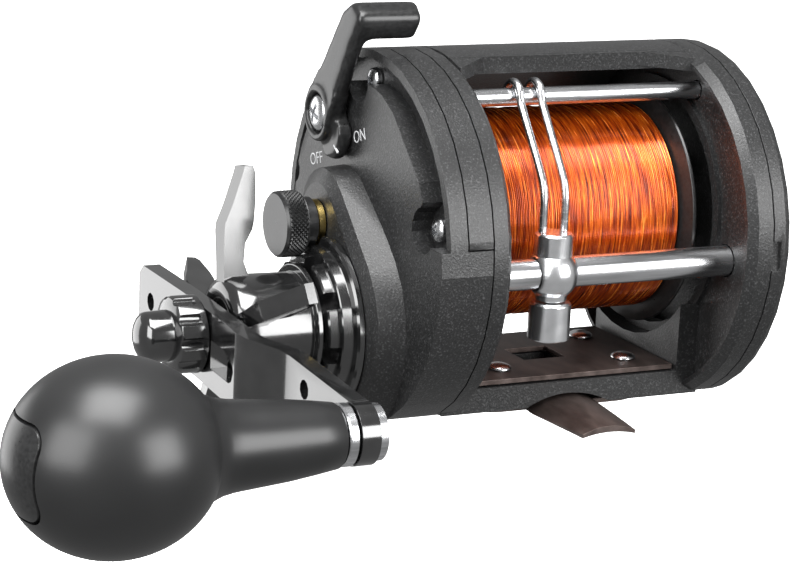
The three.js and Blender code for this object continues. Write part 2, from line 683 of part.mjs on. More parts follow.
function handleNut() {
  const body = turn([
    [ARM.outer - GAP, SHAFT_BORE], [ARM.outer - GAP, 7.4], [-78.4, 7.4], [-79, 4.9], [-83, 4.7],
    [-84.8, 3.4], [-85.5, 0], [-75.4, 0], [-75.4, SHAFT_BORE],
  ], 48);
  const scallops = [];
  for (let i = 0; i < 10; i += 1) {
    scallops.push(disc(1.5, -80, -74.6, 8.2, 0, 12).rotateZ((i / 10) * 2 * Math.PI));
  }
  return cut(body, ...scallops);
}
piece(crankAxle, 'handle_nut', handleNut(), blackGloss);

const armFront = { outer: ARM.outer + ARM.step, inner: ARM.inner + ARM.step };
const SPINDLE = { radius: 2.4, end: -84 };
piece(knobAxle, 'knob_spindle', turn([
  [-62.5, 0], [-62.5, 4.6], [-62.9, 5], [armFront.inner + GAP, 5], [armFront.inner + GAP, SPINDLE.radius],
  [SPINDLE.end, SPINDLE.radius], [SPINDLE.end, 0],
], 32), steel);
piece(knobAxle, 'knob_collar', tube(5.5, 2.8, -70.2, armFront.outer - GAP, 32), steel);

const CAP = { halfU: 7.8, halfV: 8.7, floor: -121 };

function knobProfile() {
  const stations = [[-70.5, 0], [-70.5, 5.75], [-80, 7], [-90, 7.8], [-92.8, 8.4]];
  const steps = 10;
  const start = Math.asin(0.55);
  for (let i = 0; i <= steps; i += 1) {
    const angle = start + ((Math.PI - start) * i) / steps;
    stations.push([
      KNOB_BALL.centre + KNOB_BALL.halfLength * Math.cos(angle),
      i === steps ? 0 : KNOB_BALL.radius * Math.sin(angle),
    ]);
  }
  return turn(stations, 40);
}

function knob() {
  const pocket = slab(roundedRect(CAP.halfU + GAP, CAP.halfV + GAP, 2.6), -140, CAP.floor, 5);
  return cut(knobProfile(), pocket, disc(2.8, SPINDLE.end - GAP, -50, 0, 0, 24));
}
piece(knobAxle, 'knob', knob(), rubber);
piece(
  knobAxle,
  'knob_cap',
  common(knobProfile(), slab(roundedRect(CAP.halfU, CAP.halfV, 2.4), -140, CAP.floor - GAP, 5)),
  satinBlack,
);

// ---- level wind ----
piece(axle(ROD), 'guide_rod', disc(ROD_RADIUS, -28.4, 30.6, 0, 0, 24), steel);

const GUIDE = { x: -10, travelLow: -19.5, travelHigh: 20.5 };

function wormTube() {
  const slot = block(-1.5, 1.5, -5, 0, GUIDE.travelLow - 2, GUIDE.travelHigh + 2);
  return cut(tube(WORM_TUBE_RADIUS, 2.4, -28.6, 31.2, 32), slot);
}
piece(wormAxle, 'worm_tube', wormTube(), steel);

// Worm with one pair of crossed grooves suggested by turned recesses.
function wormShaft() {
  const stations = [[-31.3, 0], [-31.3, 1.4], [-29.2, 1.4], [-29.2, 1.9], [-22, 1.9]];
  for (let x = -20; x < 22; x += 7) stations.push([x, 1.9], [x + 0.5, 1.3], [x + 1.1, 1.3], [x + 1.6, 1.9]);
  stations.push([24, 1.9], [32.6, 1.9], [32.6, 0]);
  return turn(stations, 16);
}
piece(wormAxle, 'worm_shaft', wormShaft(), steel);
piece(wormAxle, 'worm_gear', windGear(WORM_TEETH, 1.7, wormPhase), brass);

const guideGroup = new THREE.Group();
guideGroup.position.set(GUIDE.x, WORM.y, WORM.z);
reel.add(guideGroup);

const PAWL_BORE = 1.4;

function guideBlock() {
  const ball = turn([
    [-5.1, 0], [-5.1, 3], [-4.4, 3.8], [-3.2, 4.5], [-1.6, 5], [0, 5.1], [1.6, 4.9], [3.2, 4.2], [4.2, 3.65],
    [7.6, 3.65], [7.9, 3.4], [7.9, 0],
  ], 40);
  const sleeve = WORM_TUBE_RADIUS + GAP;
  const bore = new THREE.CylinderGeometry(sleeve, sleeve, 20, 32).rotateZ(Math.PI / 2);
  return cut(ball, bore, disc(PAWL_BORE, -20, 0, 0, 0, 20));
}
piece(guideGroup, 'line_guide_block', guideBlock(), chrome);

function pawlCap() {
  const cap = turn([[-5.4, 0], [-5.4, 3.7], [-5.9, 4.05], [-12.6, 4.05], [-12.9, 3.7], [-12.9, 0]], 36);
  return cut(cap, disc(PAWL_BORE, -11, 0, 0, 0, 20));
}
piece(guideGroup, 'pawl_cap', pawlCap(), chrome);
piece(guideGroup, 'pawl', disc(1.1, -10.6, -2.15, 0, 0, 16), steel);

const WIRE = { radius: 0.82, spread: 2.3, base: 8.2 };

function guideWire() {
  const rodY = ROD.y - WORM.y;
  const rodZ = ROD.z - WORM.z;
  const loop = ROD_RADIUS + WIRE.radius + 0.4;
  const points = [
    [0.6, WIRE.base], [0.6, 11], [0.6, 14.2], [1.2, 16.8], [3, 19.4], [10.6, 29], [rodY - loop, rodZ - 0.4],
  ];
  for (let angle = 155; angle >= -25; angle -= 30) {
    points.push([rodY + loop * Math.cos(toRadians(angle)), rodZ + loop * Math.sin(toRadians(angle))]);
  }
  const centres = points.map(([y, z]) => new THREE.Vector3(0, y, z));
  const path = new THREE.CatmullRomCurve3(centres, false, 'centripetal');
  const section = new THREE.Shape();
  section.absarc(0, 0, WIRE.radius, 0, 2 * Math.PI);
  return new THREE.ExtrudeGeometry(section, {
    steps: 30,
    bevelEnabled: false,
    extrudePath: path,
    curveSegments: 4,
  });
}
piece(guideGroup, 'guide_wire_left', guideWire(), steel).position.x = -WIRE.spread;
piece(guideGroup, 'guide_wire_right', guideWire(), steel).position.x = WIRE.spread;

// ---- free-spool lever ----
const LEVER_REACH = { u: -10.2, v: 19.3 }; // from the pivot to the middle of the thumb tab
const HUB = { outer: -44.6, inner: COVER.face - GAP, well: -42.9 };

function lever() {
  const hub = disc(5.5, HUB.outer, HUB.inner, 0, 0, 36);
  const pointer = disc(4.5, HUB.well, HUB.inner, -3.7, -4.1, 24);
  const web = outline([[5, 2.2], [-5.4, 20.6], [-8, 22.2], [-12.6, 20.4], [-12.6, 17.8], [-5.2, -1.6]]);
  const tab = slab(roundedRect(3.2, 3.2, 2), HUB.outer, -31, 5)
    .rotateZ(toRadians(27))
    .translate(LEVER_REACH.u, LEVER_REACH.v, 0);
  const lean = new THREE.Matrix4().makeShear(0, 0, 0, 0.1, 0, 0); // the bar leans in over the rings
  const bar = join(slab(web, HUB.outer, -41.3), tab).applyMatrix4(lean);
  const screwWell = disc(4, -60, HUB.well, 0, 0, 28);
  return cut(join(hub, pointer, bar), screwWell, disc(SCREW_HOLE, -60, -20, 0, 0, 20));
}
piece(leverAxle, 'freespool_lever', lever(), satinBlack);
const CAM = { from: -37.9, to: -36.4 };
piece(leverAxle, 'lever_screw', screw(HUB.well - GAP, 1, CAM.to + 2.1 - HUB.well, 3.5), steel);
piece(leverAxle, 'clutch_cam', cut(
  block(-1.9, 1.9, -1.9, 1.9, CAM.from, CAM.to),
  disc(SCREW_HOLE - 0.1, -60, -20, 0, 0, 16),
), steel);

// ---- far side ----
const CLICKER = { u: -12, v: -14, travel: 4.6 };

function farCover() {
  const inner = RIGHT_RING.seam + GAP;
  const body = turn([
    [inner, 0], [inner, RING.radius], [34.4, RING.radius], [35.5, 35.6], [FAR_FACE, 34.8], [FAR_FACE, 0],
  ]);
  const cavity = disc(33, 20, FAR_FACE - 2);
  const boss = disc(8.6, inner, FAR_FACE - 1, spoolU, spoolV);
  const pads = FAR_SCREWS.map((s) => disc(4, inner, FAR_FACE - 1, ...offset(s, RING), 20));
  return trimmed(cut(
    join(cut(body, cavity), boss, ...pads),
    disc(BEARING_SEAT, 20, 34.8, spoolU, spoolV, 32),
    block(-37, -35.2, -3.2, 2.6, inner - 1, 33.6),
    slab(roundedRect(2, 4.4, 1.9), 20, 50, 5).translate(CLICKER.u, CLICKER.v, 0),
    ...FAR_SCREWS.map((s) => disc(SCREW_HOLE, 20, 50, ...offset(s, RING), 14)),
  ));
}
piece(ringAxle, 'far_side_cover', farCover(), graphite);
FAR_SCREWS.forEach((s, i) => {
  piece(axle(s), `far_cover_screw_${i + 1}`, screw(FAR_FACE + GAP, -1, 6.6, 2.3), steel);
});

function clicker() {
  const low = CLICKER.v - CLICKER.travel / 2;
  const button = disc(3.9, FAR_FACE + GAP, FAR_FACE + 1.9, CLICKER.u, low, 28);
  return join(button, disc(1.4, FAR_FACE - 3, FAR_FACE + 1, CLICKER.u, low, 16));
}
piece(ringAxle, 'clicker_button', clicker(), satinBlack);

export default reel;
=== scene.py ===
import json
import math
import random

import bmesh
import bpy
from mathutils import Matrix, Vector


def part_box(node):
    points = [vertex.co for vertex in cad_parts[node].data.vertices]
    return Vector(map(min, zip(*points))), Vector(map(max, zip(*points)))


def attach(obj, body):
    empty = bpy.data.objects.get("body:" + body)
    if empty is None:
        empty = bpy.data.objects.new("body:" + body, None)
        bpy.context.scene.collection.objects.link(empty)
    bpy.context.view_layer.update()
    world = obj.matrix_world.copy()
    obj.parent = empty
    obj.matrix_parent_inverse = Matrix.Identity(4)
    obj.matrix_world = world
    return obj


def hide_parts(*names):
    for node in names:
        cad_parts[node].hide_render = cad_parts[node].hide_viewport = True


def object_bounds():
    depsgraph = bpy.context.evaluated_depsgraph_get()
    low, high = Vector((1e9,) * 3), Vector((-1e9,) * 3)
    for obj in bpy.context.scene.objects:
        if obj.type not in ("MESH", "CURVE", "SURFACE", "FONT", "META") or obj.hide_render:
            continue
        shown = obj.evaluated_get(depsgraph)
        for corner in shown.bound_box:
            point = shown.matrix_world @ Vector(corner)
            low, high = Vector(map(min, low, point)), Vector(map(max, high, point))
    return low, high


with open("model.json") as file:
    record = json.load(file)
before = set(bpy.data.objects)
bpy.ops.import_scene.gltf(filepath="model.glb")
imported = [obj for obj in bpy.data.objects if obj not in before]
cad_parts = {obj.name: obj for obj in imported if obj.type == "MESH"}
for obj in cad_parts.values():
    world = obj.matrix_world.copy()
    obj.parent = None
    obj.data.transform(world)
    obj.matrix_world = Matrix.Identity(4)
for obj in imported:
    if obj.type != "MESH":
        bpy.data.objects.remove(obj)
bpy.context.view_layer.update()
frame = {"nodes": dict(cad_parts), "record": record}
record = frame["record"]
bodyOf = {n: body for body, nodes in record["behaviour"]["bodies"].items() for n in nodes}
slotOf = {part["node"]: part["material_slot"] for part in record["subparts"]}
mm = 0.001


def inMetres(*lengths):
    return tuple(length * mm for length in lengths)


def middleOf(node):
    low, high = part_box(node)
    return (low + high) / 2


# axes along X, as (y, z) in millimetres: each turning body has its joint's, and the guide rod its middle
axes = {
    joint["child"]: tuple(round(value / mm, 3) for value in joint["pos_m"][1:])
    for joint in record["behaviour"]["joints"] if "pos_m" in joint
}
axes["rod"] = tuple(round(value / mm, 1) for value in middleOf("guide_rod")[1:])


def newMaterial(name, **sockets):
    material = bpy.data.materials.new(name)
    material.use_nodes = True
    shader = material.node_tree.nodes["Principled BSDF"]
    for label, value in sockets.items():
        shader.inputs[label.replace("_", " ")].default_value = value
    return material, material.node_tree.nodes, material.node_tree.links, shader


def objectNoise(nodes, links, scale, stretch=(1, 1, 1), detail=4.0):
    place = nodes.new("ShaderNodeTexCoord")
    mapping = nodes.new("ShaderNodeMapping")
    mapping.inputs["Scale"].default_value = stretch
    noise = nodes.new("ShaderNodeTexNoise")
    noise.inputs["Scale"].default_value = scale
    noise.inputs["Detail"].default_value = detail
    links.new(place.outputs["Object"], mapping.inputs["Vector"])
    links.new(mapping.outputs["Vector"], noise.inputs["Vector"])
    return noise.outputs["Fac"]


def ramp(nodes, links, source, stops):
    node = nodes.new("ShaderNodeValToRGB")
    elements = node.color_ramp.elements
    while len(elements) < len(stops):
        elements.new(0.5)
    for element, (at, colour) in zip(elements, stops):
        element.position = at
        element.color = (*colour, 1)
    links.new(source, node.inputs["Fac"])
    return node.outputs["Color"]


def addBump(nodes, links, shader, source, strength, depth):
    bump = nodes.new("ShaderNodeBump")
    bump.inputs["Strength"].default_value = strength
    bump.inputs["Distance"].default_value = depth
    links.new(source, bump.inputs["Height"])
    links.new(bump.outputs["Normal"], shader.inputs["Normal"])


def grey(value):
    return (value, value * 1.01, value * 1.03)


def roughFrom(nodes, links, shader, source, low, high):
    spread = nodes.new("ShaderNodeMapRange")
    spread.inputs["To Min"].default_value = low
    spread.inputs["To Max"].default_value = high
    links.new(source, spread.inputs["Value"])
    links.new(spread.outputs["Result"], shader.inputs["Roughness"])


def graphiteMaterial():
    material, nodes, links, shader = newMaterial("mouldedGraphite", Specular_IOR_Level=0.5)
    grain = objectNoise(nodes, links, 2600, detail=5)
    broad = objectNoise(nodes, links, 60, detail=3)
    colour = ramp(nodes, links, grain, [(0.3, grey(0.009)), (0.56, grey(0.016)), (0.7, grey(0.06))])
    links.new(colour, shader.inputs["Base Color"])
    roughFrom(nodes, links, shader, broad, 0.34, 0.46)
    addBump(nodes, links, shader, grain, 0.5, 0.00014)
    return material


def glossBlackMaterial():
    material, nodes, links, shader = newMaterial(
        "blackAnodised", IOR=1.9, Coat_Weight=0.4, Coat_Roughness=0.08,
    )
    film = objectNoise(nodes, links, 240, detail=3)
    colour = ramp(nodes, links, film, [(0.35, grey(0.005)), (0.7, grey(0.012))])
    links.new(colour, shader.inputs["Base Color"])
    roughFrom(nodes, links, shader, film, 0.08, 0.2)
    return material


def satinBlackMaterial():
    material, nodes, links, shader = newMaterial("satinBlack", Specular_IOR_Level=0.5)
    grain = objectNoise(nodes, links, 1500, detail=4)
    links.new(ramp(nodes, links, grain, [(0.3, grey(0.008)), (0.7, grey(0.02))]), shader.inputs["Base Color"])
    roughFrom(nodes, links, shader, grain, 0.24, 0.36)
    addBump(nodes, links, shader, grain, 0.12, 0.00005)
    return material


def gripMaterial():
    material, nodes, links, shader = newMaterial("gripRubber", Specular_IOR_Level=0.5)
    grain = objectNoise(nodes, links, 3200, detail=5)
    broad = objectNoise(nodes, links, 45, detail=2)
    links.new(ramp(nodes, links, broad, [(0.3, grey(0.012)), (0.7, grey(0.02))]), shader.inputs["Base Color"])
    roughFrom(nodes, links, shader, broad, 0.3, 0.38)
    addBump(nodes, links, shader, grain, 0.14, 0.00006)
    return material


def polishedMaterial():
    material, nodes, links, shader = newMaterial("polishedChrome", Metallic=1.0)
    film = objectNoise(nodes, links, 320, detail=3)
    links.new(ramp(nodes, links, film, [(0.3, grey(0.82)), (0.7, grey(0.93))]), shader.inputs["Base Color"])
    roughFrom(nodes, links, shader, film, 0.2, 0.3)
    return material


def brushedMaterial(name, low, high, stretch, roughness):
    material, nodes, links, shader = newMaterial(name, Metallic=1.0)
    streak = objectNoise(nodes, links, 900, stretch=stretch, detail=6)
    links.new(ramp(nodes, links, streak, [(0.3, low), (0.7, high)]), shader.inputs["Base Color"])
    roughFrom(nodes, links, shader, streak, *roughness)
    addBump(nodes, links, shader, streak, 0.05, 0.00002)
    return material


def footMaterial():
    material, nodes, links, shader = newMaterial("bronzedSteel", Metallic=0.75)
    patina = objectNoise(nodes, links, 320, stretch=(1, 0.4, 1), detail=6)
    links.new(
        ramp(nodes, links, patina, [(0.3, (0.05, 0.036, 0.032)), (0.7, (0.14, 0.11, 0.1))]),
        shader.inputs["Base Color"],
    )
    roughFrom(nodes, links, shader, patina, 0.38, 0.56)
    addBump(nodes, links, shader, patina, 0.25, 0.0001)
    return material


def lineMaterial():
    material, nodes, links, shader = newMaterial(
        "copperLine", Metallic=0.55, Specular_IOR_Level=0.7, Coat_Weight=0.3, Coat_Roughness=0.12,
    )
    strandsAndGlints = objectNoise(nodes, links, 100, stretch=(26, 1.2, 1.2), detail=5)
    # the noise sets the line's own strand tones from dark red-brown to orange; its bright yellow top stop is
    # a painted highlight, glints along the strands
    colour = ramp(nodes, links, strandsAndGlints, [
        (0.3, (0.1, 0.008, 0.001)), (0.46, (0.42, 0.05, 0.003)),
        (0.6, (0.8, 0.16, 0.008)), (0.76, (1.0, 0.45, 0.08)),
    ])
    links.new(colour, shader.inputs["Base Color"])
    roughFrom(nodes, links, shader, strandsAndGlints, 0.16, 0.34)
    addBump(nodes, links, shader, strandsAndGlints, 0.3, 0.00012)
    return material


def printMaterial():
    material, nodes, links, shader = newMaterial("whitePrint", Roughness=0.5)
    ink = objectNoise(nodes, links, 1800, detail=3)
    links.new(ramp(nodes, links, ink, [(0.3, grey(0.5)), (0.7, grey(0.75))]), shader.inputs["Base Color"])
    return material


def carbonMaterial():
    material, nodes, links, shader = newMaterial("carbonFibre", Roughness=0.8)
    weave = objectNoise(nodes, links, 1400, detail=2)
    links.new(ramp(nodes, links, weave, [(0.4, grey(0.01)), (0.6, grey(0.04))]), shader.inputs["Base Color"])
    return material


materials = {
    "graphite": graphiteMaterial(),
    "gloss_black": glossBlackMaterial(),
    "satin_black": satinBlackMaterial(),
    "grip": gripMaterial(),
    "polished": polishedMaterial(),
    "stainless": brushedMaterial("brushedStainless", grey(0.5), grey(0.8), (0.06, 1, 1), (0.16, 0.34)),
    "foot_metal": footMaterial(),
    "brass": brushedMaterial("turnedBrass", (0.55, 0.4, 0.12), (0.78, 0.6, 0.25), (1, 0.3, 0.3), (0.15, 0.3)),
    "carbon": carbonMaterial(),
    "line": lineMaterial(),
    "print": printMaterial(),
}
print("materials ready")


def toPiece(name, mesh, body, slot, material=None, sharp=35, replaced=()):
    piece = bpy.data.objects.new(name, mesh)
    bpy.context.scene.collection.objects.link(piece)
    mesh.polygons.foreach_set("use_smooth", [True] * len(mesh.polygons))
    mesh.set_sharp_from_angle(angle=math.radians(sharp))
    mesh.materials.clear()
    mesh.materials.append(material or materials[slot])
    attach(piece, body)
    if replaced:
        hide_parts(*replaced)
    return piece


def meshFrom(bm, name):
    bmesh.ops.remove_doubles(bm, verts=bm.verts, dist=0.000002)
    bmesh.ops.recalc_face_normals(bm, faces=bm.faces)
    mesh = bpy.data.meshes.new(name)
    bm.to_mesh(mesh)
    bm.free()
    return mesh


# stations are (along X, radius) in millimetres; a closed ring repeats its first station
def turned(stations, axis, steps=96):
    y, z = axis
    bm = bmesh.new()
    points = [bm.verts.new((x * mm, y * mm, (z + radius) * mm)) for x, radius in stations]
    for first, second in zip(points, points[1:]):
        bm.edges.new((first, second))
    bmesh.ops.spin(
        bm, geom=bm.verts[:] + bm.edges[:], cent=(0, y * mm, z * mm), axis=(1, 0, 0),
        angle=math.tau, steps=steps, use_merge=True, use_duplicate=False,
    )
    return bm


def roundEdges(piece, width, segments=2, angle=32):
    bevel = piece.modifiers.new("edges", "BEVEL")
    bevel.width = width * mm
    bevel.segments = segments
    bevel.limit_method = "ANGLE"
    bevel.angle_limit = math.radians(angle)
    bevel.harden_normals = True


# a finished copy of a CAD node: merged, flat areas joined, edges broken
def finishedCopy(node, edge, sharp=35, angle=32):
    bm = bmesh.new()
    bm.from_mesh(frame["nodes"][node].data)
    bmesh.ops.remove_doubles(bm, verts=bm.verts, dist=0.000004)
    bmesh.ops.dissolve_limit(
        bm, angle_limit=math.radians(0.6), use_dissolve_boundaries=False,
        verts=bm.verts, edges=bm.edges, delimit={"NORMAL"},
    )
    mesh = bpy.data.meshes.new(node + "_shape")
    bm.to_mesh(mesh)
    bm.free()
    piece = toPiece(node + "_finished", mesh, bodyOf[node], slotOf[node], sharp=sharp, replaced=(node,))
    roundEdges(piece, edge, angle=angle)
    return piece


# (edge width in millimetres, smallest edge angle in degrees)
copied = {
    "frame": (0.3, 30),
    "gear_cover": (0.35, 18),
    "crank_side_plate": (0.3, 30),
    "far_side_cover": (0.35, 30),
    "handle_arm": (0.3, 30),
    "reel_foot": (0.12, 30),
    "foot_clamp_plate": (0.12, 30),
    "clicker_button": (0.25, 30),
}
for node, (edge, angle) in copied.items():
    finishedCopy(node, edge, sharp=angle, angle=angle)
print("castings finished")


# the grip's ball is an ellipsoid round "centre"; its neck runs from "start" to the ball
knob = {
    "start": -70.5, "bore": 2.8, "boreEnd": -84.3, "centre": -110.4, "radius": 16.9, "halfLength": 18.5,
    "steps": 40, "around": 112,
}
endCap = {
    "halfY": 7.8, "halfZ": 7.9, "corner": 3.6, "core": -118, "floor": -121, "beyond": -140, "gap": 0.5,
    "recess": 0.3,
}


def knobStations():
    start = knob["start"]
    stations = [(start, knob["bore"]), (start, 5.3), (start - 0.5, 5.75), (-75, 6.35), (-80, 7.0), (-86, 7.5)]
    stations += [(-90, 7.85), (-92.4, 8.3)]
    first = math.asin(0.55)
    for i in range(knob["steps"] + 1):
        angle = first + (math.pi - first) * i / knob["steps"]
        radius = 0.0 if i == knob["steps"] else knob["radius"] * math.sin(angle)
        stations.append((knob["centre"] + knob["halfLength"] * math.cos(angle), radius))
    return stations


def roundedPrism(halfY, halfZ, corner, x0, x1, axis):
    bm = bmesh.new()
    bmesh.ops.create_cube(bm, size=1)
    bmesh.ops.scale(bm, vec=((x1 - x0) * mm, 2 * halfY * mm, 2 * halfZ * mm), verts=bm.verts)
    bmesh.ops.translate(bm, vec=((x0 + x1) / 2 * mm, axis[0] * mm, axis[1] * mm), verts=bm.verts)
    upright = [e for e in bm.edges if abs(e.verts[0].co.x - e.verts[1].co.x) > 0.0001]
    bmesh.ops.bevel(
        bm, geom=upright, offset=corner * mm, offset_type="OFFSET", segments=8,
        profile=0.5, affect="EDGES", material=-1,
    )
    return meshFrom(bm, "prism")


def booleanStep(piece, cutterMesh, operation):
    cutter = bpy.data.objects.new("cutter", cutterMesh)
    bpy.context.scene.collection.objects.link(cutter)
    step = piece.modifiers.new("cut", "BOOLEAN")
    step.object = cutter
    step.operation = operation
    step.solver = "EXACT"
    bpy.context.view_layer.update()
    graph = bpy.context.evaluated_depsgraph_get()
    shaped = bpy.data.meshes.new_from_object(piece.evaluated_get(graph))
    piece.modifiers.clear()
    piece.data = shaped
    bpy.data.objects.remove(cutter)
    shaped.polygons.foreach_set("use_smooth", [True] * len(shaped.polygons))
    shaped.set_sharp_from_angle(angle=math.radians(35))


def makeKnob():
    bore = [(knob["boreEnd"], 0), (knob["boreEnd"], knob["bore"])]
    bm = turned(bore + knobStations(), axes["knob"], knob["around"])
    grip = toPiece("knob_grip", meshFrom(bm, "knob_grip"), "knob", "grip", replaced=("knob",))
    wide = [endCap[k] + endCap["gap"] for k in ("halfY", "halfZ", "corner")]
    booleanStep(grip, roundedPrism(*wide, endCap["beyond"], endCap["floor"], axes["knob"]), "DIFFERENCE")
    roundEdges(grip, 0.3, 3, 50)
    outside = [station for station in knobStations() if station[0] < endCap["core"]]
    bm = turned([(endCap["core"], 0)] + outside, axes["knob"], knob["around"])
    cap = toPiece("knob_end_cap", meshFrom(bm, "knob_end_cap"), "knob", "satin_black", replaced=("knob_cap",))
    snug = [endCap[k] for k in ("halfY", "halfZ", "corner")]
    floor = endCap["floor"] - endCap["recess"]
    booleanStep(cap, roundedPrism(*snug, endCap["beyond"], floor, axes["knob"]), "INTERSECT")
    roundEdges(cap, 0.5, 4, 50)


makeKnob()
print("knob made")


spool = {
    "wraps": 118, "from": -21.45, "to": 22.7, "core": 9.3, "radius": 20.6, "strand": 0.17, "swell": 0.06,
    "wander": 0.16, "around": 120,
}


def makeSpool():
    crankSide = [
        (-25.8, 2.7), (-25.8, 6), (-24.6, 7.4), (-24.3, 8.4), (-24.2, 22.6), (-23.9, 23.6), (-23.4, 24),
        (-23, 23.8), (-22.5, 22.4), (-21.85, 20), (-21.8, 9),
    ]
    farSide = [
        (23.05, 9), (23.1, 20), (23.8, 22.6), (24.2, 23.8), (24.7, 24), (25.1, 23.6), (25.35, 22.4),
        (25.4, 8.4), (25.9, 7.4), (27.2, 6), (27.2, 2.7),
    ]
    stations = crankSide + farSide + crankSide[:1]
    piece = toPiece(
        "spool_flanges", meshFrom(turned(stations, axes["spool"], 112), "spool_flanges"),
        "spool", "satin_black", replaced=("spool",),
    )
    roundEdges(piece, 0.15)


def makeLine():
    dice = random.Random(7)
    pitch = (spool["to"] - spool["from"]) / spool["wraps"]
    stations = [(spool["from"], spool["core"])]
    swell = 0.0
    for wrap in range(spool["wraps"]):
        swell = 0.7 * swell + dice.uniform(-spool["swell"], spool["swell"])
        x = spool["from"] + (wrap + 0.5) * pitch
        base = spool["radius"] + swell - 0.08
        lift = spool["strand"] * dice.uniform(0.7, 1.1)
        stations += [(x - 0.48 * pitch, base), (x - 0.2 * pitch, base + lift), (x + 0.2 * pitch, base + lift)]
    stations += [(spool["to"], spool["radius"] - 0.2), (spool["to"], spool["core"]), stations[0]]
    bm = turned(stations, axes["spool"], spool["around"])
    # strands wander a little along X as they go round
    y, z = axes["spool"]
    for vert in bm.verts:
        radius = math.hypot(vert.co.y - y * mm, vert.co.z - z * mm)
        inside = spool["from"] + 0.6 < vert.co.x / mm < spool["to"] - 0.6
        if radius > 15 * mm and inside:
            turn = math.atan2(vert.co.z - z * mm, vert.co.y - y * mm)
            vert.co.x += spool["wander"] * mm * math.sin(turn * 3 + vert.co.x / mm * 0.55)
    toPiece("wound_line", meshFrom(bm, "wound_line"), "spool", "line", sharp=80, replaced=("line_pack",))


makeSpool()
makeLine()
print("spool and line made")


guide = {"x": -10, "ball": 5.1, "bore": 3.28, "spread": 2.3, "wire": 0.82, "loop": 2.97}


def uprightTurned(stations, x, y, steps=72):
    bm = bmesh.new()
    points = [bm.verts.new(((x + radius) * mm, y * mm, z * mm)) for z, radius in stations]
    for first, second in zip(points, points[1:]):
        bm.edges.new((first, second))
    bmesh.ops.spin(
        bm, geom=bm.verts[:] + bm.edges[:], cent=(x * mm, y * mm, 0), axis=(0, 0, 1),
        angle=math.tau, steps=steps, use_merge=True, use_duplicate=False,
    )
    return bm


def rodMesh(radius, x0, x1, axis, steps=48):
    return meshFrom(turned([(x0, 0), (x0, radius), (x1, radius), (x1, 0)], axis, steps), "rod")


def makeLineGuide():
    y, z = axes["worm"]
    ball = guide["ball"]
    stations = [(z - ball, 0), (z - ball, 3.0)]
    for i in range(15):
        angle = math.radians(-52 + 96 * i / 14)
        stations.append((z + ball * math.sin(angle), ball * math.cos(angle)))
    stations += [(z + 4.2, 3.65), (z + 7.5, 3.65), (z + 7.9, 3.3), (z + 7.9, 0)]
    body = toPiece(
        "line_guide_ball", meshFrom(uprightTurned(stations, guide["x"], y), "line_guide_ball"),
        "line_guide", "polished", sharp=30, replaced=("line_guide_block",),
    )
    booleanStep(body, rodMesh(guide["bore"], -30, 10, axes["worm"]), "DIFFERENCE")
    roundEdges(body, 0.12, 2, 40)
    cap = [(z - 12.9, 0), (z - 12.9, 3.7), (z - 12.6, 4.05), (z - 5.9, 4.05), (z - 5.4, 3.7), (z - 5.4, 0)]
    piece = toPiece(
        "pawl_cap_finished", meshFrom(uprightTurned(cap, guide["x"], y), "pawl_cap_finished"),
        "line_guide", "polished", replaced=("pawl_cap",),
    )
    roundEdges(piece, 0.15, 3)


def wirePath():
    y, z = axes["worm"]
    rodY, rodZ = axes["rod"]
    points = [(y + 0.6, z + 8.0), (y + 0.6, z + 11), (y + 0.6, z + 14.2), (y + 1.2, z + 16.8)]
    points += [(y + 3, z + 19.4), (y + 6.8, z + 24.2), (y + 10.6, z + 29)]
    points.append((rodY - guide["loop"], rodZ - 0.4))
    for i in range(7):
        angle = math.radians(155 - 30 * i)
        points.append((rodY + guide["loop"] * math.cos(angle), rodZ + guide["loop"] * math.sin(angle)))
    return points


def makeWire(side, node):
    curve = bpy.data.curves.new("wire", "CURVE")
    curve.dimensions = "3D"
    curve.bevel_depth = guide["wire"] * mm
    curve.bevel_resolution = 5
    curve.resolution_u = 6
    curve.use_fill_caps = True
    path = wirePath()
    spline = curve.splines.new("NURBS")
    spline.points.add(len(path) - 1)
    for point, (y, z) in zip(spline.points, path):
        point.co = ((guide["x"] + side * guide["spread"]) * mm, y * mm, z * mm, 1)
    spline.order_u = 3
    spline.use_endpoint_u = True
    drawn = bpy.data.objects.new("wire", curve)
    bpy.context.scene.collection.objects.link(drawn)
    bpy.context.view_layer.update()
    graph = bpy.context.evaluated_depsgraph_get()
    mesh = bpy.data.meshes.new_from_object(drawn.evaluated_get(graph))
    bpy.data.objects.remove(drawn)
    bm = bmesh.new()
    bm.from_mesh(mesh)
    toPiece(node + "_finished", meshFrom(bm, node), "line_guide", "stainless", sharp=50, replaced=(node,))


rods = {
    "guide": {"radius": 1.75, "from": -28.4, "to": 30.6},
    "tube": {"bore": 2.4, "radius": 3, "from": -28.6, "to": 31.2},
    # the pawl's slot along the underside of the tube: size, middle along X, depth below the axis
    "slot": {"size": (44, 3, 5), "middle": 0.5, "below": 2.5},
}


def makeRods():
    solid = rods["guide"]
    rod = toPiece(
        "guide_rod_finished", rodMesh(solid["radius"], solid["from"], solid["to"], axes["rod"], 40),
        "root", "stainless", replaced=("guide_rod",),
    )
    roundEdges(rod, 0.2)
    hollow = rods["tube"]
    outer = [(hollow[end], hollow["radius"]) for end in ("from", "to")]
    stations = [(hollow["from"], hollow["bore"]), *outer, (hollow["to"], hollow["bore"])]
    stations.append(stations[0])
    tube = toPiece(
        "worm_tube_finished", meshFrom(turned(stations, axes["worm"], 56), "worm_tube"), "root", "stainless",
        replaced=("worm_tube",),
    )
    y, z = axes["worm"]
    slot = rods["slot"]
    middle = (slot["middle"], y, z - slot["below"])
    slotCut = bmesh.new()
    bmesh.ops.create_cube(slotCut, size=1)
    bmesh.ops.scale(slotCut, vec=inMetres(*slot["size"]), verts=slotCut.verts)
    bmesh.ops.translate(slotCut, vec=inMetres(*middle), verts=slotCut.verts)
    booleanStep(tube, meshFrom(slotCut, "slot"), "DIFFERENCE")


